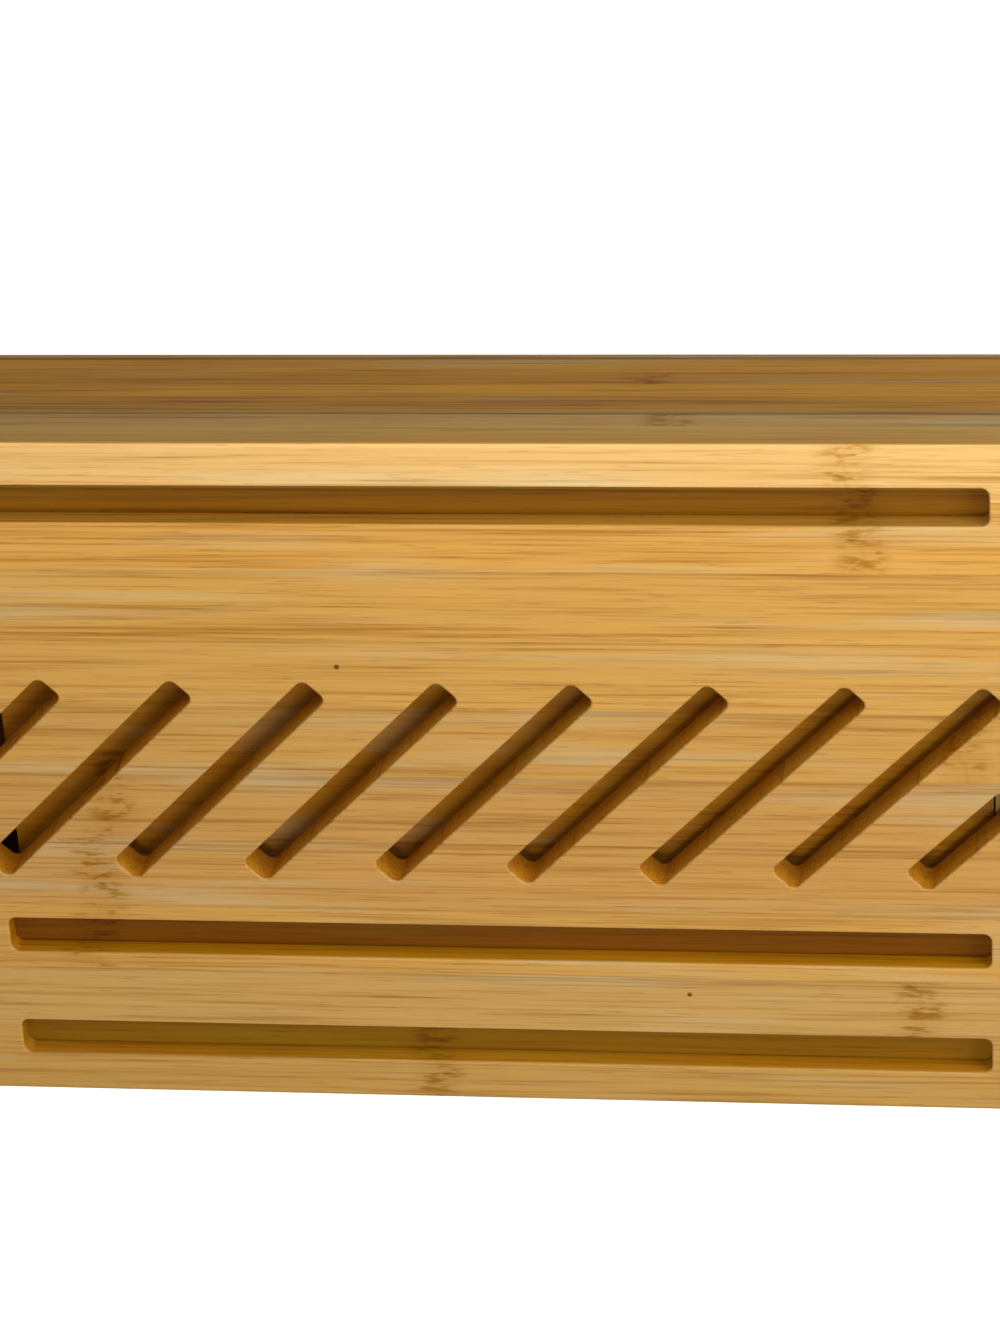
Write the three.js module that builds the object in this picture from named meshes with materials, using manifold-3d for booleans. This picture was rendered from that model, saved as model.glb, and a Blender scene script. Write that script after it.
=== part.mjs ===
// Bamboo bread slicer base with a crumb drawer, a crumb tray and two comb guides.
// Millimetres. X runs along the box, Y from the front face to the back, Z up.
// The origin is on the table, under the middle of the box.

import * as THREE from 'three';
import { mergeVertices } from 'three/addons/utils/BufferGeometryUtils.js';
import Module from 'manifold-3d';

const wasm = await Module();
wasm.setup();

// Top board: lengths along X, widths of its strips along Y, thickness along Z
const boxLength = 280;
const edgeStrip = 10.5;
const grooveWidth = 9.5;
const fieldWidth = 106;
const middleStrip = 19.5;
const topThickness = 10;
const grooveEndMargin = 22.75;
const grooveDepth = 6;
const grooveCornerRadius = 2;
const cornerRadius = 8;
const edgeEase = 1;
const mouthEase = 0.5;

// Crumb slots: a row of diagonal slots along the middle of the board
const slotWidth = 7.5;
const slotPitch = 31.2;
const slotReach = 22;
const slotEndMargin = 20.5;
const slotCornerRadius = 2;

// Box under the top board
const railThickness = 12;
const endThickness = 12;
const bottomThickness = 5;
const bottomRebate = 6;

// Crumb drawer and the two strips that it slides on
const runnerHeight = 2;
const runnerEndGap = 4;
const drawerFrontThickness = 12;
const drawerSideThickness = 8;
const drawerBackThickness = 8;
const drawerBottomThickness = 4;
const drawerBottomRise = 2;
const drawerPanelHousing = 3;
const drawerHeadroom = 2;
const drawerSideGap = 0.5;
const drawerRearGap = 2;
const drawerEase = 0.8;
const notchWidth = 62;
const notchDepth = 13;

// Comb guides, which stand in the grooves in use and lie in the drawer when stored
const guideWallGap = 3;
const guideEndPlay = 0.5;
const guideSidePlay = 0.25;
const guideCornerRadius = 6;
const guideEase = 0.5;
const guideRearGap = 1;
const kerfPitch = 12.7;
const kerfWidth = 3;
const guideSpine = 26;
const kerfMargin = 10;

// Thin tray that lies on the stored guides and catches the crumbs
const trayThickness = 3;
const trayPlay = 0.5;
const trayEase = 0.5;
const crumbHeadroom = 4.7;

// Feet, screws and dowels
const footHeight = 2;
const footRadius = 7;
const footEase = 0.5;
const footEndInset = 22;
const screwShankRadius = 1.75;
const screwHeadRadius = 3.4;
const screwHeadHeight = 1.4;
const screwLength = 18;
const screwTipLength = 3;
const screwSink = 0.4;
const screwEndInset = 78;
const dowelRadius = 3;
const dowelEase = 0.6;
const railDowelInRail = 8;
const railDowelInPanel = 14;
const topDowelInTop = 6;
const topDowelInRail = 14;
const topDowelEndInset = 30;
const panelDowelInset = 35.5;
const drawerDowelRadius = 2.5;
const drawerDowelInFront = 8;
const drawerDowelInSide = 14;

// Clearances
const fitGap = 0.3;
const slideGap = 0.3;
const overrun = 1;

// Fineness of round work
const arcSegments = 4;
const cornerSegments = 7;
const easeSegments = 2;
const roundSegments = 20;
const pinSegments = 12;

// Sizes that follow from the values above
const boxDepth = 2 * edgeStrip + 3 * grooveWidth + fieldWidth + middleStrip;
const halfLength = boxLength / 2;
const halfDepth = boxDepth / 2;
const innerHalfDepth = halfDepth - railThickness;
const endPanelInner = -halfLength + endThickness;
const boxFloor = footHeight + bottomThickness;
const runnerTop = boxFloor + runnerHeight;
const drawerUnderside = runnerTop + slideGap;
const drawerPanelZ = drawerUnderside + drawerBottomRise;
const drawerFloor = drawerPanelZ + drawerBottomThickness;

// The box is as high as the guides and the tray that lie in its drawer need
const guideThickness = grooveWidth - 2 * guideSidePlay;
const trayUnderside = drawerFloor + 2 * guideThickness;
const topUnderside = trayUnderside + trayThickness + crumbHeadroom;
const topFace = topUnderside + topThickness;
const railHeight = topUnderside - footHeight;

const frontGrooveY = -halfDepth + edgeStrip + grooveWidth / 2;
const middleGrooveY = frontGrooveY + grooveWidth + fieldWidth;
const backGrooveY = middleGrooveY + grooveWidth + middleStrip;

const grooveLength = boxLength - 2 * grooveEndMargin;
const slotRowEnd = halfLength - slotEndMargin;

const drawerHalfDepth = innerHalfDepth - drawerSideGap;
const drawerFrontBack = halfLength - drawerFrontThickness;
const drawerRear = endPanelInner + drawerRearGap;
const drawerSideTop = topUnderside - drawerHeadroom;
const drawerInnerHalf = drawerHalfDepth - drawerSideThickness;
const drawerInnerRear = drawerRear + drawerBackThickness;

const guideLength = grooveLength - 2 * guideEndPlay;
const guideHeight = 2 * (drawerInnerHalf - guideWallGap);
const kerfDepth = guideHeight - guideSpine;
const guideFront = drawerInnerRear + guideRearGap + guideLength;
const guideX = guideFront - guideLength / 2;

const screwLineY = innerHalfDepth + bottomRebate / 2;
const footX = halfLength - footEndInset;
const screwX = halfLength - screwEndInset;
const topDowelX = halfLength - topDowelEndInset;
const topDowelY = halfDepth - edgeStrip / 2;
const panelDowelY = innerHalfDepth - panelDowelInset;

// Materials
const bamboo = (colour) => (
  new THREE.MeshStandardMaterial({ color: colour, roughness: 0.55, metalness: 0 })
);
const topBamboo = bamboo(0xcba462);
const railBamboo = bamboo(0xa9834c);
const drawerBamboo = bamboo(0xc39a5b);
const guideBamboo = bamboo(0xd0aa6b);
const dowelBeech = bamboo(0xcdb084);
const footRubber = new THREE.MeshStandardMaterial({ color: 0x2a2a2a, roughness: 0.9, metalness: 0 });
const screwSteel = new THREE.MeshStandardMaterial({ color: 0xb4b6b8, roughness: 0.35, metalness: 1 });

const object = new THREE.Group();

function toSolid(geometry) {
  const bare = geometry.index ? geometry.toNonIndexed() : geometry.clone();
  bare.deleteAttribute('normal');
  bare.deleteAttribute('uv');
  const merged = mergeVertices(bare);
  return new wasm.Manifold(new wasm.Mesh({
    numProp: 3,
    vertProperties: new Float32Array(merged.attributes.position.array),
    triVerts: new Uint32Array(merged.index.array),
  }));
}

function toGeometry(solid) {
  const mesh = solid.getMesh();
  const geometry = new THREE.BufferGeometry();
  geometry.setAttribute('position', new THREE.BufferAttribute(mesh.vertProperties, 3));
  geometry.setIndex(new THREE.BufferAttribute(mesh.triVerts, 1));
  geometry.computeVertexNormals();
  return geometry;
}

function addPiece(name, solid, material) {
  const mesh = new THREE.Mesh(toGeometry(solid), material);
  mesh.name = name;
  object.add(mesh);
}

// Block between two corners
function block(x0, x1, y0, y1, z0, z1) {
  const geometry = new THREE.BoxGeometry(x1 - x0, y1 - y0, z1 - z0);
  geometry.translate((x0 + x1) / 2, (y0 + y1) / 2, (z0 + z1) / 2);
  return toSolid(geometry);
}

function roundedRectangle(width, height, radius) {
  const x = width / 2;
  const y = height / 2;
  const shape = new THREE.Shape();
  shape.moveTo(-x + radius, -y);
  shape.lineTo(x - radius, -y);
  shape.absarc(x - radius, -y + radius, radius, -Math.PI / 2, 0, false);
  shape.lineTo(x, y - radius);
  shape.absarc(x - radius, y - radius, radius, 0, Math.PI / 2, false);
  shape.lineTo(-x + radius, y);
  shape.absarc(-x + radius, y - radius, radius, Math.PI / 2, Math.PI, false);
  shape.lineTo(-x, -y + radius);
  shape.absarc(-x + radius, -y + radius, radius, Math.PI, 3 * Math.PI / 2, false);
  return shape;
}

// Shape raised from z = 0 to the given height, with both rims eased inwards
function easedPlate(shape, height, ease) {
  return new THREE.ExtrudeGeometry(shape, {
    depth: height - 2 * ease,
    bevelEnabled: true,
    bevelThickness: ease,
    bevelSize: ease,
    bevelOffset: -ease,
    bevelSegments: easeSegments,
    curveSegments: cornerSegments,
  }).translate(0, 0, ease);
}

function plainPlate(shape, height) {
  return new THREE.ExtrudeGeometry(shape, {
    depth: height,
    bevelEnabled: false,
    curveSegments: arcSegments,
  });
}

// Straight cutter for a pocket that goes down to floorZ, with a flared mouth at rimZ
function pocket(length, width, radius, floorZ, rimZ) {
  const outline = roundedRectangle(length, width, radius);
  const shaft = toSolid(plainPlate(outline, rimZ + overrun - floorZ).translate(0, 0, floorZ));
  const mouth = toSolid(new THREE.ExtrudeGeometry(outline, {
    depth: overrun,
    bevelEnabled: true,
    bevelThickness: mouthEase,
    bevelSize: mouthEase,
    bevelSegments: 1,
    curveSegments: arcSegments,
  }).translate(0, 0, rimZ));
  return shaft.add(mouth);
}

function turned(solid, angle, x, y) {
  return solid.rotate([0, 0, THREE.MathUtils.radToDeg(angle)]).translate([x, y, 0]);
}

// Board along X whose four long edges are eased
function planedBoard(x0, x1, y0, y1, z0, z1, ease) {
  const section = roundedRectangle(y1 - y0, z1 - z0, ease);
  const geometry = new THREE.ExtrudeGeometry(section, {
    depth: x1 - x0,
    bevelEnabled: false,
    curveSegments: easeSegments,
  });
  geometry.rotateX(Math.PI / 2).rotateZ(Math.PI / 2);
  return toSolid(geometry.translate(x0, (y0 + y1) / 2, (z0 + z1) / 2));
}

// Dowel of the given radius along +Z from z = 0, with both ends eased
function dowel(radius, length, ease) {
  const profile = [
    new THREE.Vector2(0, 0),
    new THREE.Vector2(radius - ease, 0),
    new THREE.Vector2(radius, ease),
    new THREE.Vector2(radius, length - ease),
    new THREE.Vector2(radius - ease, length),
    new THREE.Vector2(0, length),
  ];
  return toSolid(new THREE.LatheGeometry(profile, pinSegments).rotateX(Math.PI / 2));
}

function bore(radius, length) {
  return dowel(radius + fitGap, length, 0.5 * dowelEase);
}

// Countersunk screw, head down, standing on its head at z = 0
function screw() {
  const neck = screwHeadHeight;
  const taper = screwLength - screwTipLength;
  const profile = [
    new THREE.Vector2(0, 0),
    new THREE.Vector2(screwHeadRadius, 0),
    new THREE.Vector2(screwShankRadius, neck),
    new THREE.Vector2(screwShankRadius, taper),
    new THREE.Vector2(0, screwLength),
  ];
  return toSolid(new THREE.LatheGeometry(profile, pinSegments).rotateX(Math.PI / 2));
}

// Space that a countersunk screw needs, open downwards past its head
function screwBore() {
  const headRadius = screwHeadRadius + fitGap;
  const shankRadius = screwShankRadius + fitGap;
  const profile = [
    new THREE.Vector2(0, -screwSink - overrun),
    new THREE.Vector2(headRadius, -screwSink - overrun),
    new THREE.Vector2(headRadius, 0),
    new THREE.Vector2(shankRadius, screwHeadHeight),
    new THREE.Vector2(shankRadius, screwLength + fitGap),
    new THREE.Vector2(0, screwLength + fitGap),
  ];
  return toSolid(new THREE.LatheGeometry(profile, pinSegments).rotateX(Math.PI / 2));
}

function union(solids) {
  return solids.reduce((all, next) => all.add(next));
}

const bothSides = [-1, 1];

// Screws: three along each long side, and one in each foot
const bottomScrewPlaces = bothSides.flatMap((side) => bothSides.concat(0).map((step) => (
  [step * screwX, side * screwLineY, footHeight + screwSink]
)));
const footPlaces = bothSides.flatMap((side) => bothSides.map((end) => (
  [end * footX, side * screwLineY, 0]
)));
const footScrewPlaces = footPlaces.map(([x, y]) => [x, y, screwSink]);
const screwBores = union(bottomScrewPlaces.concat(footScrewPlaces).map((place) => (
  screwBore().translate(place)
)));

// Dowels between the rails and the end panel, and between the top board and what is under it
const railDowelX = -halfLength + endThickness / 2;
const railDowelLength = railDowelInRail + railDowelInPanel;
const railDowelShares = [1 / 3, 2 / 3];
const railDowelPlaces = bothSides.flatMap((side) => railDowelShares.map((share) => (
  [side, railDowelX, side * (innerHalfDepth - railDowelInPanel), footHeight + share * railHeight]
)));
const atRail = (solid, [side, x, y, z]) => solid.rotate([-90 * side, 0, 0]).translate([x, y, z]);
const topDowelLength = topDowelInTop + topDowelInRail;
const topDowelPlaces = bothSides.flatMap((side) => bothSides.concat(0).map((step) => (
  [step * topDowelX, side * topDowelY, topUnderside - topDowelInRail]
))).concat(bothSides.map((side) => [railDowelX, side * panelDowelY, topUnderside - topDowelInRail]));
const topDowelBores = union(topDowelPlaces.map((place) => (
  bore(dowelRadius, topDowelLength + fitGap).translate(place)
)));
const railDowelBores = union(railDowelPlaces.map((place) => (
  atRail(bore(dowelRadius, railDowelLength + fitGap), place)
)));

// Plan outline shared by the top board and the box under it
const planOutline = () => roundedRectangle(boxLength, boxDepth, cornerRadius);

// Top board: upper rim eased, three stopped grooves and the row of diagonal slots
function crumbSlot(index) {
  const centre = index * slotPitch;
  const near = Math.max(centre - slotReach, -slotRowEnd);
  const far = Math.min(centre + slotReach, slotRowEnd);
  const run = far - near;
  const middle = (near + far) / 2;
  const cutter = pocket(
    run * Math.SQRT2 + slotWidth, slotWidth, slotCornerRadius, topUnderside - overrun, topFace,
  );
  return turned(cutter, Math.PI / 4, middle, middle - centre);
}

function topBoard() {
  const raised = toSolid(easedPlate(planOutline(), topThickness + 2 * edgeEase, edgeEase));
  const upperPart = block(-boxLength, boxLength, -boxDepth, boxDepth, 2 * edgeEase, topThickness * 2);
  const board = raised.intersect(upperPart).translate([0, 0, topUnderside - 2 * edgeEase]);
  const grooveFloor = topFace - grooveDepth;
  const grooves = [frontGrooveY, middleGrooveY, backGrooveY].map((y) => (
    pocket(grooveLength, grooveWidth, grooveCornerRadius, grooveFloor, topFace).translate([0, y, 0])
  ));
  const slots = [];
  const lastSlot = Math.floor((slotRowEnd - slotWidth + slotReach) / slotPitch);
  for (let index = -lastSlot; index <= lastSlot; index += 1) {
    slots.push(crumbSlot(index));
  }
  return board.subtract(union(grooves)).subtract(union(slots)).subtract(topDowelBores);
}

// Box: one body with an eased lower rim, parted into two rails and the end panel
const boxBody = toSolid(easedPlate(planOutline(), railHeight + 2 * edgeEase, edgeEase))
  .translate([0, 0, footHeight])
  .intersect(block(-boxLength, boxLength, -boxDepth, boxDepth, 0, topUnderside));
const bottomSeat = block(
  endPanelInner - bottomRebate, drawerFrontBack,
  -innerHalfDepth - bottomRebate, innerHalfDepth + bottomRebate,
  0, boxFloor,
);
const boxCuts = union([bottomSeat, screwBores, topDowelBores, railDowelBores]);

function rail(side) {
  const inner = side * innerHalfDepth;
  const outer = side * boxDepth;
  const slice = block(
    -boxLength, boxLength, Math.min(inner, outer), Math.max(inner, outer), 0, topUnderside,
  );
  return boxBody.intersect(slice).subtract(boxCuts);
}

function endPanel() {
  const slice = block(-boxLength, endPanelInner, -innerHalfDepth, innerHalfDepth, 0, topUnderside);
  return boxBody.intersect(slice).subtract(boxCuts);
}

function bottomBoard() {
  const reach = innerHalfDepth + bottomRebate - fitGap;
  const panel = block(
    endPanelInner - bottomRebate + fitGap, drawerFrontBack - drawerSideGap,
    -reach, reach, footHeight, boxFloor,
  );
  return panel.subtract(screwBores);
}

addPiece('top_board', topBoard(), topBamboo);
addPiece('front_rail', rail(-1), railBamboo);
addPiece('back_rail', rail(1), railBamboo);
addPiece('end_panel', endPanel(), railBamboo);
addPiece('bottom_board', bottomBoard(), drawerBamboo);

// Runners: thin strips glued to the bottom board under the drawer sides
function runner(side) {
  const outer = side * drawerHalfDepth;
  const inner = side * drawerInnerHalf;
  return planedBoard(
    drawerRear, drawerFrontBack - runnerEndGap, Math.min(inner, outer), Math.max(inner, outer),
    boxFloor, runnerTop, fitGap,
  );
}

addPiece('runner_front', runner(-1), dowelBeech);
addPiece('runner_back', runner(1), dowelBeech);

// Crumb drawer
const drawerPanelReach = drawerInnerHalf + drawerPanelHousing;
const drawerPanelRear = drawerInnerRear - drawerPanelHousing;
const drawerPanelFront = drawerFrontBack + drawerPanelHousing;
const drawerPanelSeat = block(
  drawerPanelRear, drawerPanelFront,
  -drawerPanelReach, drawerPanelReach,
  drawerPanelZ, drawerFloor + fitGap,
);
const drawerDowelLength = drawerDowelInFront + drawerDowelInSide;
const drawerDowelShares = [0.45, 0.8];
const drawerDowelPlaces = bothSides.flatMap((side) => drawerDowelShares.map((share) => [
  drawerFrontBack - drawerDowelInSide,
  side * (drawerHalfDepth - drawerSideThickness / 2),
  drawerUnderside + share * (drawerSideTop - drawerUnderside),
]));
const atDrawer = (solid, place) => solid.rotate([0, 90, 0]).translate(place);
const drawerDowelBores = union(drawerDowelPlaces.map((place) => (
  atDrawer(bore(drawerDowelRadius, drawerDowelLength + fitGap), place)
)));

function drawerFront() {
  const halfWidth = drawerHalfDepth;
  const low = footHeight + drawerSideGap;
  const high = topUnderside - drawerSideGap;
  const notchRadius = (notchWidth * notchWidth / 4 + notchDepth * notchDepth) / (2 * notchDepth);
  const notchCentre = high + notchRadius - notchDepth;
  const notchAngle = Math.asin(notchWidth / 2 / notchRadius);
  const face = new THREE.Shape();
  face.moveTo(-halfWidth, low);
  face.lineTo(halfWidth, low);
  face.lineTo(halfWidth, high);
  face.lineTo(notchWidth / 2, high);
  face.absarc(0, notchCentre, notchRadius, -Math.PI / 2 + notchAngle, -Math.PI / 2 - notchAngle, true);
  face.lineTo(-halfWidth, high);
  face.closePath();
  const geometry = new THREE.ExtrudeGeometry(face, {
    depth: drawerFrontThickness - 2 * drawerEase,
    bevelEnabled: true,
    bevelThickness: drawerEase,
    bevelSize: drawerEase,
    bevelOffset: -drawerEase,
    bevelSegments: easeSegments,
    curveSegments: roundSegments,
  });
  geometry.rotateX(Math.PI / 2).rotateZ(Math.PI / 2).translate(drawerFrontBack + drawerEase, 0, 0);
  return toSolid(geometry).subtract(drawerPanelSeat).subtract(drawerDowelBores);
}

function drawerSide(side) {
  const outer = side * drawerHalfDepth;
  const inner = side * drawerInnerHalf;
  const board = planedBoard(
    drawerRear, drawerFrontBack, Math.min(inner, outer), Math.max(inner, outer),
    drawerUnderside, drawerSideTop, drawerEase,
  );
  return board.subtract(drawerPanelSeat).subtract(drawerDowelBores);
}

function drawerBack() {
  return block(
    drawerRear, drawerInnerRear, -drawerInnerHalf, drawerInnerHalf, drawerUnderside, drawerSideTop,
  ).subtract(drawerPanelSeat);
}

function drawerBottom() {
  return block(
    drawerPanelRear + fitGap, drawerPanelFront - fitGap,
    -drawerPanelReach + fitGap, drawerPanelReach - fitGap, drawerPanelZ, drawerFloor,
  );
}

addPiece('drawer_front', drawerFront(), drawerBamboo);
addPiece('drawer_side_front', drawerSide(-1), drawerBamboo);
addPiece('drawer_side_back', drawerSide(1), drawerBamboo);
addPiece('drawer_back', drawerBack(), drawerBamboo);
addPiece('drawer_bottom', drawerBottom(), drawerBamboo);

// Comb guide: a board with knife kerfs sawn from one long edge, lying flat
function guide() {
  const halfRun = guideLength / 2;
  const halfRise = guideHeight / 2;
  const radius = guideCornerRadius;
  const kerfFoot = halfRise - kerfDepth;
  const kerfsEachSide = Math.floor((halfRun - kerfMargin) / kerfPitch);
  const outline = new THREE.Shape();
  outline.moveTo(halfRun - radius, -halfRise);
  outline.absarc(halfRun - radius, -halfRise + radius, radius, -Math.PI / 2, 0, false);
  outline.lineTo(halfRun, halfRise - radius);
  outline.absarc(halfRun - radius, halfRise - radius, radius, 0, Math.PI / 2, false);
  for (let index = kerfsEachSide; index >= -kerfsEachSide; index -= 1) {
    const x = index * kerfPitch;
    outline.lineTo(x + kerfWidth / 2, halfRise);
    outline.lineTo(x + kerfWidth / 2, kerfFoot);
    outline.lineTo(x - kerfWidth / 2, kerfFoot);
    outline.lineTo(x - kerfWidth / 2, halfRise);
  }
  outline.lineTo(-halfRun + radius, halfRise);
  outline.absarc(-halfRun + radius, halfRise - radius, radius, Math.PI / 2, Math.PI, false);
  outline.lineTo(-halfRun, -halfRise + radius);
  outline.absarc(-halfRun + radius, -halfRise + radius, radius, Math.PI, 3 * Math.PI / 2, false);
  return toSolid(easedPlate(outline, guideThickness, guideEase));
}

const lowerGuide = guide().translate([guideX, 0, drawerFloor]);
const upperGuide = turned(guide(), Math.PI, guideX, 0).translate([0, 0, drawerFloor + guideThickness]);
addPiece('guide_lower', lowerGuide, guideBamboo);
addPiece('guide_upper', upperGuide, guideBamboo);

// Crumb tray: a thin board laid loose on the guides, as long as they are, with eased edges
function crumbTray() {
  const reach = drawerInnerHalf - trayPlay;
  return planedBoard(
    drawerInnerRear + trayPlay, guideFront, -reach, reach,
    trayUnderside, trayUnderside + trayThickness, trayEase,
  );
}

addPiece('crumb_tray', crumbTray(), drawerBamboo);

// Feet: rubber discs with an eased lower rim, each screwed on through its middle
function foot() {
  const profile = [
    new THREE.Vector2(0, 0),
    new THREE.Vector2(footRadius - footEase, 0),
    new THREE.Vector2(footRadius, footEase),
    new THREE.Vector2(footRadius, footHeight),
    new THREE.Vector2(0, footHeight),
  ];
  return toSolid(new THREE.LatheGeometry(profile, roundSegments).rotateX(Math.PI / 2));
}

footPlaces.forEach((place, index) => {
  addPiece(`foot_${index + 1}`, foot().translate(place).subtract(screwBores), footRubber);
});

// Screws and dowels, one piece each
footScrewPlaces.forEach((place, index) => {
  addPiece(`foot_screw_${index + 1}`, screw().translate(place), screwSteel);
});
bottomScrewPlaces.forEach((place, index) => {
  addPiece(`bottom_screw_${index + 1}`, screw().translate(place), screwSteel);
});
railDowelPlaces.forEach((place, index) => {
  const pin = dowel(dowelRadius, railDowelLength, dowelEase);
  addPiece(`rail_dowel_${index + 1}`, atRail(pin, place), dowelBeech);
});
topDowelPlaces.forEach((place, index) => {
  const pin = dowel(dowelRadius, topDowelLength, dowelEase);
  addPiece(`top_dowel_${index + 1}`, pin.translate(place), dowelBeech);
});
drawerDowelPlaces.forEach((place, index) => {
  const pin = dowel(drawerDowelRadius, drawerDowelLength, dowelEase);
  addPiece(`drawer_dowel_${index + 1}`, atDrawer(pin, place), dowelBeech);
});

export default object;
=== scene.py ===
import bpy
import bmesh
from math import cos, radians, sin
from mathutils import Matrix, Vector


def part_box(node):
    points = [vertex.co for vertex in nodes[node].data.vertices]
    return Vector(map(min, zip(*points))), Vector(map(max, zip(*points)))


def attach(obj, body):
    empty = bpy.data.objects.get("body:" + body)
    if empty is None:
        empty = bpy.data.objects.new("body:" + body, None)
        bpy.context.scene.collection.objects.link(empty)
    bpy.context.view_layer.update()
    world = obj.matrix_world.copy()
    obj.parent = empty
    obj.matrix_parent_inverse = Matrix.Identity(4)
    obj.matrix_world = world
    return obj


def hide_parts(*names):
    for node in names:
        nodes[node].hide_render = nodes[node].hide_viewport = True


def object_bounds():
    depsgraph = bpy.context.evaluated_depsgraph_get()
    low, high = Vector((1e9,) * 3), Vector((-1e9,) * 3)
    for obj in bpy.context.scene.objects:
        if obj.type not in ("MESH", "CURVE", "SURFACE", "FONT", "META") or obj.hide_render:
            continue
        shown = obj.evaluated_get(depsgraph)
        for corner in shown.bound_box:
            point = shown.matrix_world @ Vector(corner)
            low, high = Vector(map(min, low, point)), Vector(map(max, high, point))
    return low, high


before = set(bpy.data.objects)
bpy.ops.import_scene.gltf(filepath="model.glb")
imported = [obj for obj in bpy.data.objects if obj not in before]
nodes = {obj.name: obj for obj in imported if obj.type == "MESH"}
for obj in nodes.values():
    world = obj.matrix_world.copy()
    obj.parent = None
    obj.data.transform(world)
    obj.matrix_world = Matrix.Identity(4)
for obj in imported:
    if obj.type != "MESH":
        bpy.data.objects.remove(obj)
cad_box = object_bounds()


# Top board: one panel of bamboo strips about 18 mm wide, edge-glued and sanded.
# Three stopped grooves for the guides and a row of diagonal crumb slots are routed in it,
# and it sits on dowels on top of the box.
def srgb(red, green, blue):
    """Colour as a paint chart gives it, 0 to 255, as the shader wants it."""
    parts = [c / 255 for c in (red, green, blue)]
    return tuple(c / 12.92 if c <= 0.04045 else ((c + 0.055) / 1.055) ** 2.4 for c in parts) + (1.0,)


def new_material(name):
    material = bpy.data.materials.new(name)
    material.use_nodes = True
    tree = material.node_tree
    return material, tree, tree.nodes["Principled BSDF"]


def put(tree, kind, inputs=None, **settings):
    """Adds a node; an input that is a socket is linked, any other value is set."""
    node = tree.nodes.new(kind)
    for key, value in settings.items():
        setattr(node, key, value)
    for key, value in (inputs or {}).items():
        if isinstance(value, bpy.types.NodeSocket):
            tree.links.new(value, node.inputs[key])
        else:
            node.inputs[key].default_value = value
    return node


def calc(tree, operation, *values):
    return put(tree, "ShaderNodeMath", dict(enumerate(values)), operation=operation).outputs[0]


def fade(tree, value, start, end):
    """0 at start, 1 at end, softly between them."""
    node = put(tree, "ShaderNodeMapRange", {"Value": value, "From Min": start, "From Max": end},
               interpolation_type="SMOOTHSTEP")
    return node.outputs["Result"]


def steps(tree, value, stops, low, high, interpolation="CONSTANT"):
    """Ramp over value from low to high; stops are (value, colour)."""
    share = put(tree, "ShaderNodeMapRange", {"Value": value, "From Min": low, "From Max": high})
    ramp = put(tree, "ShaderNodeValToRGB", {"Fac": share.outputs["Result"]})
    ramp.color_ramp.interpolation = interpolation
    elements = ramp.color_ramp.elements
    elements.remove(elements[1])
    for index, (place, colour) in enumerate(stops):
        at = min(max((place - low) / (high - low), 0), 1)
        stop = elements[0] if index == 0 else elements.new(at)
        stop.position = at
        stop.color = colour
    return ramp.outputs["Color"]


def mix(tree, share, first, second, blend="MIX"):
    """Colour mix; the node keeps its colours at inputs 6 and 7 and its result at output 2."""
    node = put(tree, "ShaderNodeMix", {0: share, 6: first, 7: second}, data_type="RGBA", blend_type=blend)
    return node.outputs[2]


def towards_white(colour, share):
    return tuple(c + (1 - c) * share for c in colour)


def streaks(tree, along, across, through, lengthwise, crosswise, detail=3, roughness=0.6):
    """Noise drawn out along the fibres: lengthwise and crosswise are how many per metre."""
    place = put(tree, "ShaderNodeCombineXYZ", {
        "X": calc(tree, "MULTIPLY", along, lengthwise),
        "Y": calc(tree, "MULTIPLY", across, crosswise),
        "Z": calc(tree, "MULTIPLY", through, crosswise),
    })
    noise = put(tree, "ShaderNodeTexNoise", {
        "Vector": place.outputs[0], "Scale": 1.0, "Detail": detail, "Roughness": roughness,
    })
    return noise.outputs["Fac"]


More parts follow.
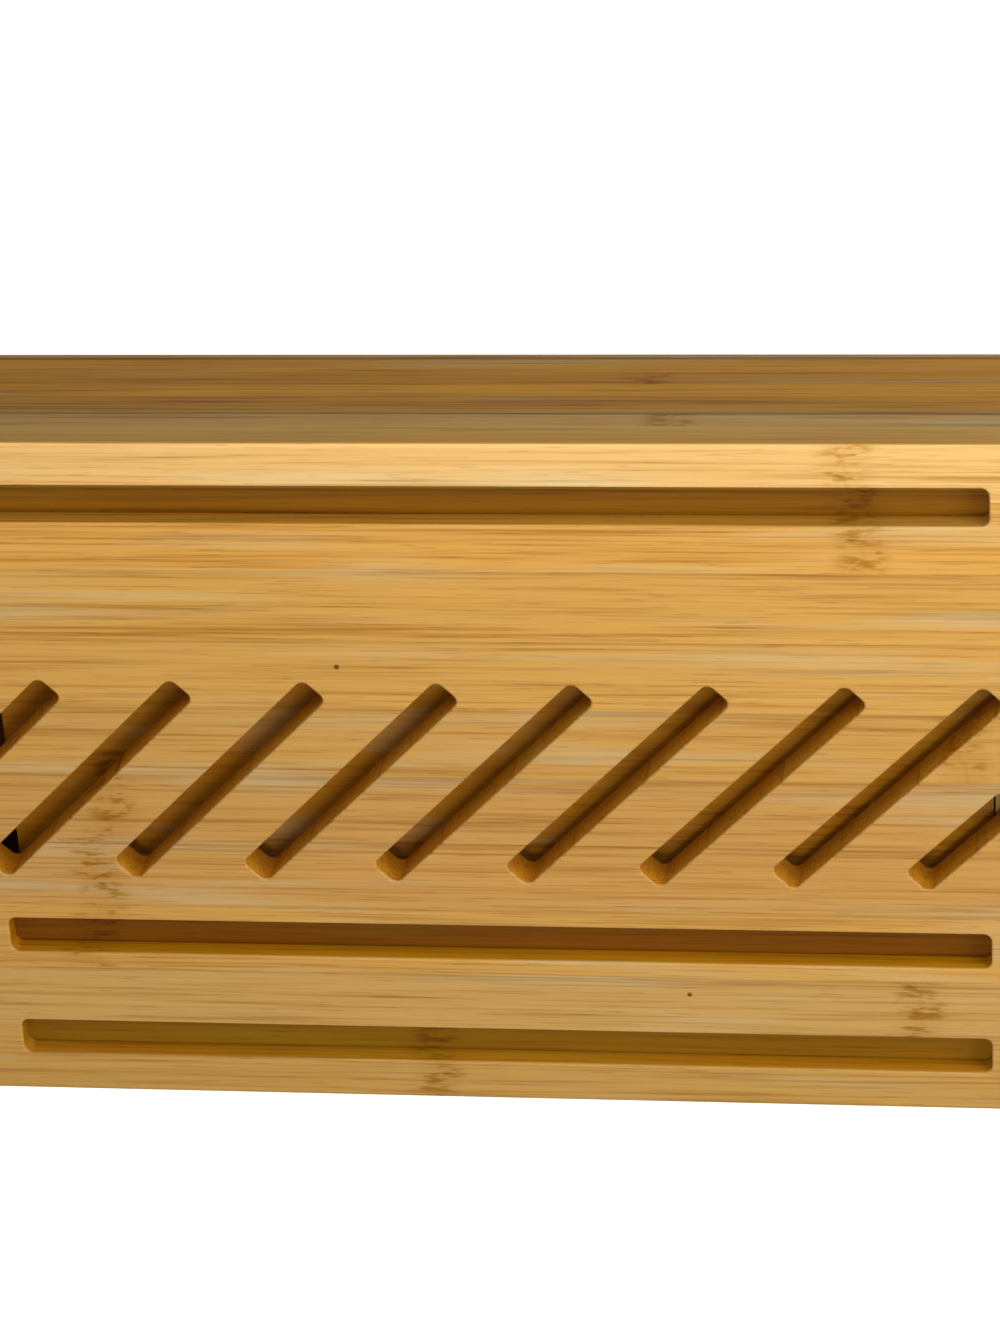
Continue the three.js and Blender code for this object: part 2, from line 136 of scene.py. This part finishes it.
def bamboo(name, strips, along="X", across="Y", through="Z", gloss=0.5, vein=srgb(206, 188, 160),
           routed=None, specks=()):
    """Bamboo panel. Strips are (edge, colour, knot): where each starts across the grain, its tone,
    and how far along the grain its knot is. Vein is how dark the streaks are. Routed darkens what is
    cut into the face with painted shade, the floors more than the walls, and colours the lamellas
    that show on the sawn sides, whose tones carry painted shade too."""
    material, tree, shader = new_material(name)
    place = put(tree, "ShaderNodeTexCoord").outputs["Object"]
    axes = put(tree, "ShaderNodeSeparateXYZ", {"Vector": place}).outputs
    x, y, z = axes[along], axes[across], axes[through]

    glue_line, glue_shade, strip_shift = 0.00012, 0.86, 7.3
    low, high = strips[0][0], strips[-1][0] + 0.03
    tones, knots = [], []
    for index, (edge, tone, knot) in enumerate(strips):
        if index:
            tones.append((edge - glue_line, tuple(glue_shade * c for c in tone[:3]) + (1,)))
        tones.append((edge + (glue_line if index else 0), tone))
        knots.append((edge, (knot + 0.5,) * 3 + (1,)))
    tone = steps(tree, y, tones, low, high)
    knot = calc(tree, "SUBTRACT", steps(tree, y, knots, low, high), 0.5)

    shifted = calc(tree, "MULTIPLY_ADD", knot, strip_shift, x)
    fibres = streaks(tree, shifted, y, z, lengthwise=20, crosswise=1250, detail=2)
    bands = streaks(tree, shifted, y, z, lengthwise=4, crosswise=260, detail=4, roughness=0.65)
    pores = fade(tree, streaks(tree, shifted, y, z, lengthwise=90, crosswise=2600, detail=1), 0.6, 0.75)
    grain = calc(tree, "ADD", calc(tree, "MULTIPLY", fibres, 0.6), calc(tree, "MULTIPLY", bands, 0.4))
    shades = [(0.3, vein), (0.5, towards_white(vein, 0.8)), (0.7, srgb(255, 255, 255))]
    shade = steps(tree, grain, shades, 0.0, 1.0, "LINEAR")
    colour = mix(tree, 1.0, tone, shade, "MULTIPLY")
    darker = mix(tree, 1.0, colour, srgb(190, 165, 120), "MULTIPLY")
    colour = mix(tree, calc(tree, "MULTIPLY", pores, 0.4), colour, darker)
    greyer = put(tree, "ShaderNodeHueSaturation", {
        "Hue": 0.512, "Saturation": 0.84, "Value": 0.97, "Color": colour,
    }).outputs["Color"]
    patches = streaks(tree, shifted, y, z, lengthwise=8, crosswise=110, detail=2)
    colour = mix(tree, fade(tree, patches, 0.5, 0.75), colour, greyer)

    knot_half, ridge_half, swing = 0.0085, 0.0012, 0.014
    wander = streaks(tree, 0.0, y, z, lengthwise=1, crosswise=55, detail=1)
    bend = calc(tree, "MULTIPLY_ADD", wander, swing, -swing / 2)
    from_knot = calc(tree, "ABSOLUTE", calc(tree, "ADD", calc(tree, "SUBTRACT", x, knot), bend))
    zone = fade(tree, from_knot, knot_half, 0.0015)
    blobs = fade(tree, streaks(tree, shifted, y, z, lengthwise=150, crosswise=520, detail=2), 0.48, 0.64)
    stain = calc(tree, "MULTIPLY", zone, calc(tree, "MULTIPLY_ADD", blobs, 0.75, 0.18))
    ridge = calc(tree, "MULTIPLY", fade(tree, from_knot, ridge_half, 0.0002), 0.3)
    burnt = mix(tree, 1.0, colour, srgb(206, 184, 104), "MULTIPLY")
    colour = mix(tree, calc(tree, "MAXIMUM", stain, ridge), colour, burnt)

    for speck_x, speck_y, radius in specks:
        flat = put(tree, "ShaderNodeCombineXYZ", {"X": x, "Y": y}).outputs[0]
        off = put(tree, "ShaderNodeVectorMath", {0: flat, 1: (speck_x, speck_y, 0)}, operation="DISTANCE")
        spot = fade(tree, off.outputs["Value"], radius, 0.4 * radius)
        colour = mix(tree, spot, colour, mix(tree, 1.0, colour, srgb(156, 124, 70), "MULTIPLY"))

    rough = calc(tree, "MULTIPLY_ADD", bands, 0.2, gloss - 0.1)
    if routed:
        sides, rim, floor = routed["sides"], routed["rim"], routed["floor"]
        lamellas = steps(tree, z, sides, sides[0][0], sides[-1][0] + 0.01)
        below_rim = fade(tree, z, rim, rim - 0.0004)
        near_x = calc(tree, "LESS_THAN", calc(tree, "ABSOLUTE", x), routed["reach"][0])
        near_y = calc(tree, "LESS_THAN", calc(tree, "ABSOLUTE", y), routed["reach"][1])
        in_cut = calc(tree, "MULTIPLY", below_rim, calc(tree, "MULTIPLY", near_x, near_y))
        on_side = calc(tree, "SUBTRACT", below_rim, in_cut)
        on_floor = fade(tree, z, floor + 0.0009, floor + 0.0001)
        # Painted shade: routed walls and floors are darkened by a tint for each groove and the slot band,
        # the floors more than the walls.
        wall_shade = steps(tree, y, routed["wall_shade_tints"], low, high)
        tint = mix(tree, on_floor, wall_shade, steps(tree, y, routed["floor_shade_tints"], low, high))
        colour = mix(tree, in_cut, colour, mix(tree, 1.0, colour, tint, "MULTIPLY"))
        # The sawn sides take lamella tones that carry painted shade as well.
        colour = mix(tree, on_side, colour, mix(tree, 1.0, lamellas, shade, "MULTIPLY"))
        rough = calc(tree, "MULTIPLY_ADD", in_cut, 0.15, rough)
    tree.links.new(colour, shader.inputs["Base Color"])
    tree.links.new(rough, shader.inputs["Roughness"])
    shader.inputs["Specular IOR Level"].default_value = 0.1
    relief = calc(tree, "SUBTRACT", calc(tree, "MULTIPLY", fibres, 0.6), calc(tree, "MULTIPLY", pores, 0.5))
    bump = put(tree, "ShaderNodeBump", {"Height": relief, "Strength": 0.35, "Distance": 0.0001})
    tree.links.new(bump.outputs["Normal"], shader.inputs["Normal"])
    return material


def upright_edges(form):
    found = []
    for edge in form.edges:
        run = edge.verts[1].co - edge.verts[0].co
        if abs(run.z) > 0.999 * run.length:
            found.append(edge)
    return found


def rim_edges(form, level):
    return [e for e in form.edges if all(abs(v.co.z - level) < 1e-6 for v in e.verts)]


def round_edges(form, edges, radius, segments):
    bmesh.ops.bevel(form, geom=edges, offset=radius, offset_type="OFFSET", segments=segments,
                    profile=0.5, affect="EDGES", material=-1)


def block(form, low, high):
    """Adds a block between two corners."""
    verts = bmesh.ops.create_cube(form, size=1)["verts"]
    bmesh.ops.scale(form, vec=Vector(high) - Vector(low), verts=verts)
    bmesh.ops.translate(form, vec=(Vector(low) + Vector(high)) / 2, verts=verts)


def smooth_but_sharp(mesh):
    """Smooth shading that keeps every edge of more than 35 degrees sharp."""
    mesh.polygons.foreach_set("use_smooth", [True] * len(mesh.polygons))
    mesh.set_sharp_from_angle(angle=radians(35))


def make_piece(name, form, material, cutter=None):
    """Turns a form into an object, with the cutter's shape taken out of it."""
    mesh = bpy.data.meshes.new(name)
    form.to_mesh(mesh)
    form.free()
    piece = bpy.data.objects.new(name, mesh)
    bpy.context.scene.collection.objects.link(piece)
    if cutter:
        tool_mesh = bpy.data.meshes.new(name + "_cutter")
        cutter.to_mesh(tool_mesh)
        cutter.free()
        tool = bpy.data.objects.new(name + "_cutter", tool_mesh)
        bpy.context.scene.collection.objects.link(tool)
        cut = piece.modifiers.new("cut", "BOOLEAN")
        cut.operation, cut.solver, cut.object = "DIFFERENCE", "EXACT", tool
        bpy.context.view_layer.update()
        shaped = piece.evaluated_get(bpy.context.evaluated_depsgraph_get())
        piece.data = bpy.data.meshes.new_from_object(shaped)
        piece.modifiers.clear()
        bpy.data.objects.remove(tool)
        bpy.data.meshes.remove(tool_mesh)
        bpy.data.meshes.remove(mesh)
        piece.data.name = name
    piece.data.materials.clear()
    piece.data.materials.append(material)
    smooth_but_sharp(piece.data)
    even = piece.modifiers.new("even shading", "WEIGHTED_NORMAL")
    even.keep_sharp = True
    even.weight = 90
    return piece


def routed_cutter(form, length, width, floor, rim, ease, angle=0.0, centre=(0, 0)):
    """Straight router pass with round corners, which flares to a softened mouth at the rim."""
    cutter_corner, above_rim = 0.002, 0.002
    before = set(form.verts)
    block(form, (-length / 2, -width / 2, floor), (length / 2, width / 2, rim - ease))
    corners = [e for e in upright_edges(form) if e.verts[0] not in before]
    round_edges(form, corners, cutter_corner, 6)
    fresh = [f for f in form.faces if not before.intersection(f.verts)]
    top = max(fresh, key=lambda face: face.calc_center_median().z)
    grown, height = Vector((length, width)), rim - ease
    for turn in (30, 60, 90, None):
        out = ease * (1 - cos(radians(turn))) if turn else 2 * ease
        up = rim - ease + ease * sin(radians(turn)) if turn else rim + above_rim
        raised = bmesh.ops.extrude_face_region(form, geom=[top])["geom"]
        bmesh.ops.delete(form, geom=[top], context="FACES_ONLY")
        verts = [v for v in raised if isinstance(v, bmesh.types.BMVert)]
        top = next(f for f in raised if isinstance(f, bmesh.types.BMFace))
        size = Vector((length + 2 * out, width + 2 * out))
        bmesh.ops.scale(form, vec=(size.x / grown.x, size.y / grown.y, 1), verts=verts)
        bmesh.ops.translate(form, vec=(0, 0, up - height), verts=verts)
        grown, height = size, up
    fresh = [v for v in form.verts if v not in before]
    bmesh.ops.rotate(form, cent=(0, 0, 0), matrix=Matrix.Rotation(angle, 3, "Z"), verts=fresh)
    bmesh.ops.translate(form, vec=(centre[0], centre[1], 0), verts=fresh)


low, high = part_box("top_board")
corner, corner_steps, ease, ease_steps, mouth = 0.008, 14, 0.001, 4, 0.0005
board = bmesh.new()
block(board, low, high)
round_edges(board, upright_edges(board), corner, corner_steps)
round_edges(board, rim_edges(board, high.z), ease, ease_steps)
routing = bmesh.new()
groove_middles = (-0.07225, 0.04325, 0.07225)
groove_length, groove_width, groove_floor = 0.2345, 0.0095, high.z - 0.006
for y in groove_middles:
    routed_cutter(routing, groove_length, groove_width, groove_floor, high.z, mouth, centre=(0, y))
slot_width, slot_pitch, slot_reach, slot_row_end, slots_a_side = 0.0075, 0.0312, 0.022, 0.1195, 4
below_board = low.z - 0.002
for index in range(-slots_a_side, slots_a_side + 1):
    start = max(index * slot_pitch - slot_reach, -slot_row_end)
    end = min(index * slot_pitch + slot_reach, slot_row_end)
    middle = (start + end) / 2
    slot_length = (end - start) * 2 ** 0.5 + slot_width
    routed_cutter(routing, slot_length, slot_width, below_board, high.z, mouth, angle=radians(45),
                  centre=(middle, middle - index * slot_pitch))
# Strip tones vary at random, and the front strips are lightened with a falloff towards the back as painted
# light.
face_tones_and_light = [
    (-0.0916, srgb(232, 186, 113), -0.0877), (-0.0737, srgb(214, 160, 76), -0.0874),
    (-0.0558, srgb(207, 157, 77), -0.1300), (-0.0379, srgb(205, 156, 79), 0.1230),
    (-0.0200, srgb(198, 150, 77), -0.1118), (-0.0021, srgb(194, 146, 77), 0.0883),
    (0.0158, srgb(196, 147, 77), 0.0949), (0.0337, srgb(201, 152, 76), 0.0959),
    (0.0516, srgb(196, 154, 87), -0.1000), (0.0695, srgb(192, 148, 77), 0.0177),
]
# Painted shade: the crumb slots' walls are tinted darker and yellower.
slot_shade_tint = srgb(255, 232, 112)
board_cuts = {
    "rim": high.z - mouth,
    "floor": groove_floor,
    "reach": (0.125, 0.082),
    # Painted shade: each groove's walls and floor are darkened by their own tint, the floors more than the
    # walls.
    "wall_shade_tints": [
        (-0.0916, srgb(212, 208, 160)), (-0.034, slot_shade_tint),
        (0.034, srgb(232, 212, 62)), (0.058, srgb(244, 218, 84)),
    ],
    "floor_shade_tints": [
        (-0.0916, srgb(168, 147, 36)), (-0.034, slot_shade_tint),
        (0.034, srgb(162, 129, 16)), (0.058, srgb(196, 177, 56)),
    ],
    # The sawn sides' lamella tones are partly the edge grain's own darker colour and partly painted shade
    # for the front face.
    "sides": [
        (low.z, srgb(150, 118, 54)), (low.z + 0.0044, srgb(148, 110, 40)),
        (low.z + 0.0086, srgb(164, 128, 52)),
    ],
}
board_specks = ((0.0319, -0.0309, 0.0009), (-0.0462, 0.0565, 0.0008))
board_bamboo = bamboo("board_bamboo", face_tones_and_light, gloss=0.42, vein=srgb(198, 177, 138),
                      routed=board_cuts, specks=board_specks)
top_board = make_piece("top_board_panel", board, board_bamboo, routing)
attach(top_board, "base")
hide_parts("top_board")


# Box sides: two bamboo rails and an end panel between them, glued and dowelled at the corners.
# They are cut from laminated board, so thin lamellas show as lines along the face,
# and a rebate round the inside takes the bottom board.
low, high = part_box("front_rail")
outer_low, outer_high = Vector((low.x, low.y, low.z)), Vector((high.x, -low.y, high.z))
rail_inner, end_inner = 0.0755, -0.128
seat_depth, seat_top, seat_end = 0.006, 0.007, 0.128
no_knot = 0.2
# Rail and end panel tones are kept darker than the top, partly as the edge grain's darker lamellas and
# partly as painted shade for the front face.
rail_shaded_tones = [
    (0.0000, srgb(150, 118, 64), no_knot), (0.0043, srgb(118, 86, 40), no_knot),
    (0.0055, srgb(154, 111, 36), no_knot), (0.0125, srgb(145, 100, 24), -0.039),
    (0.0190, srgb(158, 112, 30), no_knot), (0.0255, srgb(144, 101, 26), no_knot),
    (0.0320, srgb(139, 105, 42), no_knot), (0.0342, srgb(110, 82, 38), no_knot),
    (0.0350, srgb(148, 115, 59), -0.045),
]
rail_vein = srgb(164, 142, 108)
rail_bamboo = bamboo("rail_bamboo", rail_shaded_tones, along="X", across="Z", through="Y", gloss=0.55,
                     vein=rail_vein)
panel_bamboo = bamboo("panel_bamboo", rail_shaded_tones, along="Y", across="Z", through="X", gloss=0.55,
                      vein=rail_vein)


def box_part(name, planes, material):
    """Part of the box's round-cornered wall, sawn off at planes given as (point, outward side)."""
    form = bmesh.new()
    block(form, outer_low, outer_high)
    round_edges(form, upright_edges(form), corner, corner_steps)
    round_edges(form, rim_edges(form, outer_low.z), ease, ease_steps)
    for point, outward in planes:
        bmesh.ops.bisect_plane(form, geom=form.verts[:] + form.edges[:] + form.faces[:],
                               plane_co=point, plane_no=outward, clear_outer=True)
        bmesh.ops.edgeloop_fill(form, edges=[e for e in form.edges if e.is_boundary])
    bmesh.ops.recalc_face_normals(form, faces=form.faces)
    seat = bmesh.new()
    seat_side = rail_inner + seat_depth
    block(seat, (end_inner - seat_depth, -seat_side, 0), (seat_end, seat_side, seat_top))
    return make_piece(name, form, material, seat)


front_rail = box_part("front_rail_board", [((0, -rail_inner, 0), (0, 1, 0))], rail_bamboo)
back_rail = box_part("back_rail_board", [((0, rail_inner, 0), (0, -1, 0))], rail_bamboo)
end_panel = box_part("end_panel_board", [
    ((0, -rail_inner, 0), (0, -1, 0)), ((0, rail_inner, 0), (0, 1, 0)), ((end_inner, 0, 0), (1, 0, 0)),
], panel_bamboo)
for piece, node in ((front_rail, "front_rail"), (back_rail, "back_rail"), (end_panel, "end_panel")):
    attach(piece, "base")
    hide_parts(node)


# Bottom board and runners: a thin bamboo panel screwed up into the rebate from below,
# with two beech strips glued on it that carry the drawer's sides.
def use_material(material, *names):
    for name in names:
        mesh = nodes[name].data
        mesh.materials.clear()
        mesh.materials.append(material)


bottom_bamboo = bamboo("bottom_bamboo", [
    (-0.0916, srgb(196, 156, 96), 0.06), (-0.0560, srgb(204, 164, 102), -0.05),
    (-0.0200, srgb(198, 158, 98), 0.01), (0.0160, srgb(206, 165, 104), -0.09),
    (0.0520, srgb(197, 156, 94), 0.11),
], gloss=0.6)
use_material(bottom_bamboo, "bottom_board")


def plain_wood(name, light, dark, along="X", across="Y", through="Z"):
    """Close-grained beech: pale, with short darker rays along the grain."""
    material, tree, shader = new_material(name)
    place = put(tree, "ShaderNodeTexCoord").outputs["Object"]
    axes = put(tree, "ShaderNodeSeparateXYZ", {"Vector": place}).outputs
    x, y, z = axes[along], axes[across], axes[through]
    bands = streaks(tree, x, y, z, lengthwise=9, crosswise=320)
    rays = fade(tree, streaks(tree, x, y, z, lengthwise=260, crosswise=1900, detail=1), 0.58, 0.7)
    colour = steps(tree, bands, [(0.3, dark), (0.65, light)], 0.0, 1.0, "LINEAR")
    darker = mix(tree, 1.0, colour, srgb(200, 165, 125), "MULTIPLY")
    colour = mix(tree, calc(tree, "MULTIPLY", rays, 0.45), colour, darker)
    tree.links.new(colour, shader.inputs["Base Color"])
    tree.links.new(calc(tree, "MULTIPLY_ADD", bands, 0.2, 0.5), shader.inputs["Roughness"])
    bump = put(tree, "ShaderNodeBump", {"Height": bands, "Strength": 0.3, "Distance": 0.0001})
    tree.links.new(bump.outputs["Normal"], shader.inputs["Normal"])
    return material


runner_beech = plain_wood("runner_beech", srgb(214, 184, 140), srgb(188, 152, 108))
use_material(runner_beech, "runner_front", "runner_back")


# Crumb drawer: a bamboo front with a finger notch, dowelled to two sides, with a back between them.
# Its thin bottom is housed in all four, and the whole drawer slides out to the right.
low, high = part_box("drawer_front")
notch_width, notch_depth, notch_through, drawer_ease = 0.062, 0.013, 0.04, 0.0008
front = bmesh.new()
block(front, low, high)
notch_radius = (notch_width ** 2 / 4 + notch_depth ** 2) / (2 * notch_depth)
notch_middle = ((low.x + high.x) / 2, 0, high.z + notch_radius - notch_depth)
notch = bmesh.new()
bmesh.ops.create_cone(notch, cap_ends=True, segments=160, radius1=notch_radius, radius2=notch_radius,
                      depth=notch_through)
quarter_turn = Matrix.Rotation(radians(90), 3, "Y")
bmesh.ops.rotate(notch, cent=(0, 0, 0), matrix=quarter_turn, verts=notch.verts)
bmesh.ops.translate(notch, vec=notch_middle, verts=notch.verts)
front_bamboo = bamboo("front_bamboo", [
    (0.0000, srgb(168, 124, 60), 0.02), (0.0130, srgb(176, 130, 64), -0.045),
    (0.0260, srgb(170, 126, 62), 0.05),
], along="Y", across="Z", through="X")
drawer_front = make_piece("drawer_front_board", front, front_bamboo, notch)
rounding = bmesh.new()
rounding.from_mesh(drawer_front.data)
bmesh.ops.remove_doubles(rounding, verts=rounding.verts, dist=1e-6)
paired = [e for e in rounding.edges if len(e.link_faces) == 2]
hard = [e for e in paired if e.calc_face_angle() > radians(35)]
round_edges(rounding, hard, drawer_ease, 3)
rounding.to_mesh(drawer_front.data)
rounding.free()
smooth_but_sharp(drawer_front.data)
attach(drawer_front, "drawer")
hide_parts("drawer_front")

side_bamboo = bamboo("side_bamboo", [
    (0.0000, srgb(188, 144, 78), 0.04), (0.0150, srgb(182, 138, 72), -0.06),
    (0.0260, srgb(191, 147, 80), 0.08),
], along="X", across="Z", through="Y", gloss=0.55)
use_material(side_bamboo, "drawer_side_front", "drawer_side_back")
back_bamboo = bamboo("back_bamboo", [
    (0.0000, srgb(180, 136, 70), 0.03), (0.0180, srgb(186, 142, 76), -0.04),
], along="Y", across="Z", through="X", gloss=0.55)
use_material(back_bamboo, "drawer_back")
tray_bamboo = bamboo("tray_bamboo", [
    (-0.0800, srgb(178, 134, 70), 0.03), (-0.0440, srgb(186, 142, 76), -0.08),
    (-0.0080, srgb(180, 136, 71), 0.09), (0.0280, srgb(184, 140, 75), -0.02),
    (0.0640, srgb(176, 132, 68), 0.06),
], gloss=0.55)
use_material(tray_bamboo, "drawer_bottom")


# Comb guides: two bamboo boards with knife kerfs sawn from one long edge to near the other.
# In use they stand in the grooves and steer the knife; here both lie stacked in the drawer.
guide_bamboo = bamboo("guide_bamboo", [
    (-0.0680, srgb(196, 156, 96), 0.035), (-0.0440, srgb(204, 164, 103), -0.085),
    (-0.0150, srgb(198, 158, 98), 0.078), (0.0130, srgb(206, 166, 104), -0.030),
    (0.0420, srgb(199, 159, 99), 0.055),
])
use_material(guide_bamboo, "guide_lower", "guide_upper")


# Crumb tray: a thin bamboo board that lies loose on the stored guides and catches the crumbs,
# with eased edges. Its colour is darker than the box as painted shade for the shaded inside
# seen through the slots.
crumb_shade_bamboo = bamboo("crumb_shade_bamboo", [
    (-0.0700, srgb(184, 122, 20), 0.05), (-0.0350, srgb(191, 128, 23), -0.03),
    (0.0000, srgb(185, 123, 20), 0.09), (0.0350, srgb(189, 126, 22), -0.08),
], gloss=0.6)
use_material(crumb_shade_bamboo, "crumb_tray")


# Dowels: plain turned beech pins, eased at both ends and glued in blind holes,
# out of sight once the box is together.
dowel_names = [name for name in nodes if "dowel" in name]
dowel_beech = plain_wood("dowel_beech", srgb(212, 182, 138), srgb(186, 150, 106),
                         along="Z", across="Y", through="X")
use_material(dowel_beech, *dowel_names)


# Feet: four flat discs of soft black rubber under the rails.
# Each is moulded with a shallow countersink and held by a screw through its middle.
foot_rubber, tree, shader = new_material("foot_rubber_black")
place = put(tree, "ShaderNodeTexCoord").outputs["Object"]
dust = put(tree, "ShaderNodeTexNoise", {"Vector": place, "Scale": 900.0, "Detail": 3.0}).outputs["Fac"]
smears = put(tree, "ShaderNodeTexNoise", {"Vector": place, "Scale": 120.0, "Detail": 2.0}).outputs["Fac"]
colour = steps(tree, smears, [(0.35, srgb(34, 34, 35)), (0.65, srgb(47, 46, 45))], 0.0, 1.0, "LINEAR")
tree.links.new(colour, shader.inputs["Base Color"])
tree.links.new(calc(tree, "MULTIPLY_ADD", dust, 0.2, 0.7), shader.inputs["Roughness"])
bump = put(tree, "ShaderNodeBump", {"Height": dust, "Strength": 0.3, "Distance": 0.00008})
tree.links.new(bump.outputs["Normal"], shader.inputs["Normal"])
foot_rim, head_gap, head_rise, bore_radius, sink_radius = 0.0005, 0.0004, 0.0018, 0.00205, 0.0037


def turned(profile, middle):
    """Form turned round an upright axis through middle, from (radius, height) points."""
    form = bmesh.new()
    verts = [form.verts.new((radius, 0, height)) for radius, height in profile]
    edges = [form.edges.new(pair) for pair in zip(verts, verts[1:])]
    bmesh.ops.spin(form, geom=verts + edges, angle=radians(360), steps=64, axis=(0, 0, 1), cent=(0, 0, 0))
    bmesh.ops.remove_doubles(form, verts=form.verts, dist=1e-6)
    bmesh.ops.recalc_face_normals(form, faces=form.faces)
    bmesh.ops.translate(form, vec=middle, verts=form.verts)
    return form


for number in range(1, 5):
    low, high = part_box(f"foot_{number}")
    middle, radius, tall = (low + high) / 2, (high.x - low.x) / 2, high.z - low.z
    middle.z = low.z
    outside = []
    for turn in (0, 30, 60, 90):
        out, up = foot_rim * sin(radians(turn)), foot_rim * cos(radians(turn))
        outside.append((radius - foot_rim + out, foot_rim - up))
    inside = [(radius, tall), (bore_radius, tall), (bore_radius, head_rise)]
    inside += [(sink_radius, head_gap), (sink_radius, 0)]
    disc = turned(outside + inside + outside[:1], middle)
    foot = make_piece(f"foot_disc_{number}", disc, foot_rubber)
    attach(foot, "base")
    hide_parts(f"foot_{number}")


# Screws: zinc-plated countersunk wood screws, one in each foot and three along each long side.
# Only the heads show, underneath, each with a cross recess for the driver.
screw_zinc, tree, shader = new_material("screw_zinc")
place = put(tree, "ShaderNodeTexCoord").outputs["Object"]
brushed = put(tree, "ShaderNodeTexNoise", {"Vector": place, "Scale": 1400.0, "Detail": 2.0}).outputs["Fac"]
shades = [(0.3, srgb(168, 170, 172)), (0.7, srgb(198, 199, 200))]
tree.links.new(steps(tree, brushed, shades, 0.0, 1.0, "LINEAR"), shader.inputs["Base Color"])
tree.links.new(calc(tree, "MULTIPLY_ADD", brushed, 0.2, 0.25), shader.inputs["Roughness"])
shader.inputs["Metallic"].default_value = 1.0
head_radius, shank_radius, head_height, tip_length = 0.0034, 0.00175, 0.0014, 0.003
arm_length, arm_half, recess_depth, recess_taper, turn_apart = 0.0019, 0.0005, 0.0015, 0.2, 37
arm_ends = [(arm_length, -arm_half), (arm_length, arm_half), (arm_half, arm_half)]
outline = []
for quarter in (0, 90, 180, 270):
    outline += [Matrix.Rotation(radians(quarter), 2) @ Vector(end) for end in arm_ends]
screw_names = [name for name in nodes if "screw" in name]
for index, name in enumerate(screw_names):
    low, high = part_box(name)
    middle, tall = (low + high) / 2, high.z - low.z
    middle.z = low.z
    screw = turned([
        (0, 0), (head_radius, 0), (shank_radius, head_height), (shank_radius, tall - tip_length), (0, tall),
    ], middle)
    recess = bmesh.new()
    cross = recess.faces.new([recess.verts.new((point.x, point.y, -recess_depth)) for point in outline])
    deep = bmesh.ops.extrude_face_region(recess, geom=[cross])["geom"]
    verts = [v for v in deep if isinstance(v, bmesh.types.BMVert)]
    bmesh.ops.translate(recess, vec=(0, 0, 2 * recess_depth), verts=verts)
    bmesh.ops.scale(recess, vec=(recess_taper, recess_taper, 1), verts=verts)
    bmesh.ops.recalc_face_normals(recess, faces=recess.faces)
    twist = Matrix.Rotation(radians(turn_apart * index), 3, "Z")
    bmesh.ops.rotate(recess, cent=(0, 0, 0), matrix=twist, verts=recess.verts)
    bmesh.ops.translate(recess, vec=middle, verts=recess.verts)
    screw_body = make_piece(f"{name}_body", screw, screw_zinc, recess)
    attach(screw_body, "base")
    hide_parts(name)


# Table and daylight: a white table under an even pale surround, with three soft lamps:
# one nearly overhead, one beside the closed end and one in front of the board.
table_half = 6
table = bmesh.new()
bmesh.ops.create_grid(table, x_segments=1, y_segments=1, size=table_half)
table_mesh = bpy.data.meshes.new("table_top")
table.to_mesh(table_mesh)
table.free()
table_top = bpy.data.objects.new("table_top", table_mesh)
bpy.context.scene.collection.objects.link(table_top)
table_white, tree, shader = new_material("table_white")
shader.inputs["Base Color"].default_value = (0.8, 0.8, 0.8, 1)
shader.inputs["Roughness"].default_value = 0.9
shader.inputs["Specular IOR Level"].default_value = 0.1
shader.inputs["Emission Color"].default_value = (1, 1, 1, 1)
seen_directly = put(tree, "ShaderNodeLightPath").outputs["Is Camera Ray"]
tree.links.new(calc(tree, "MULTIPLY", seen_directly, 0.65), shader.inputs["Emission Strength"])
table_top.data.materials.append(table_white)

world = bpy.data.worlds.new("surround")
bpy.context.scene.world = world
world.use_nodes = True
tree = world.node_tree
surround = tree.nodes["Background"]
seen_directly = put(tree, "ShaderNodeLightPath").outputs["Is Camera Ray"]
surround.inputs["Color"].default_value = (1, 1, 1, 1)
tree.links.new(calc(tree, "MULTIPLY_ADD", seen_directly, 0.55, 0.45), surround.inputs["Strength"])


def soft_lamp(name, place, size, energy):
    """Square lamp that faces the middle of the board."""
    lamp = bpy.data.lights.new(name, "AREA")
    lamp.size, lamp.energy = size, energy
    lamp_object = bpy.data.objects.new(name, lamp)
    lamp_object.location = place
    facing = Vector((0, 0, 0.05)) - Vector(place)
    lamp_object.rotation_euler = facing.to_track_quat("-Z", "Y").to_euler()
    bpy.context.scene.collection.objects.link(lamp_object)


soft_lamp("lamp_above", (-0.05, 0.05, 0.80), size=0.2, energy=1.7)
soft_lamp("lamp_beside", (-0.52, -0.28, 0.38), size=0.4, energy=2.5)
soft_lamp("lamp_front", (-0.12, -0.55, 0.35), size=0.4, energy=1.4)


# Camera: it stands over the front edge and looks down on the board, upside down,
# so that the front face is at the top of the picture.
tilt, yaw, roll = radians(29.636), radians(-16.155), radians(-3.77)
target, distance = Vector((-0.00603, -0.03145, cad_box[1].z)), 1.0
focal_pixels, picture_height = 4381.6, 1333
back = Vector((sin(tilt) * sin(yaw), -sin(tilt) * cos(yaw), cos(tilt)))
above = Vector((0, -1, 0))
above = (above - above.dot(back) * back).normalized()
right = above.cross(back)
axis_x = cos(roll) * right + sin(roll) * above
axis_y = -sin(roll) * right + cos(roll) * above
camera = bpy.data.cameras.new("camera")
camera.sensor_width = 36
camera.lens = focal_pixels * camera.sensor_width / picture_height
camera_object = bpy.data.objects.new("camera", camera)
turn = Matrix((axis_x, axis_y, back)).transposed().to_4x4()
camera_object.matrix_world = Matrix.Translation(target + back * distance) @ turn
bpy.context.scene.collection.objects.link(camera_object)
bpy.context.scene.camera = camera_object

bpy.context.scene.view_settings.view_transform = "Standard"
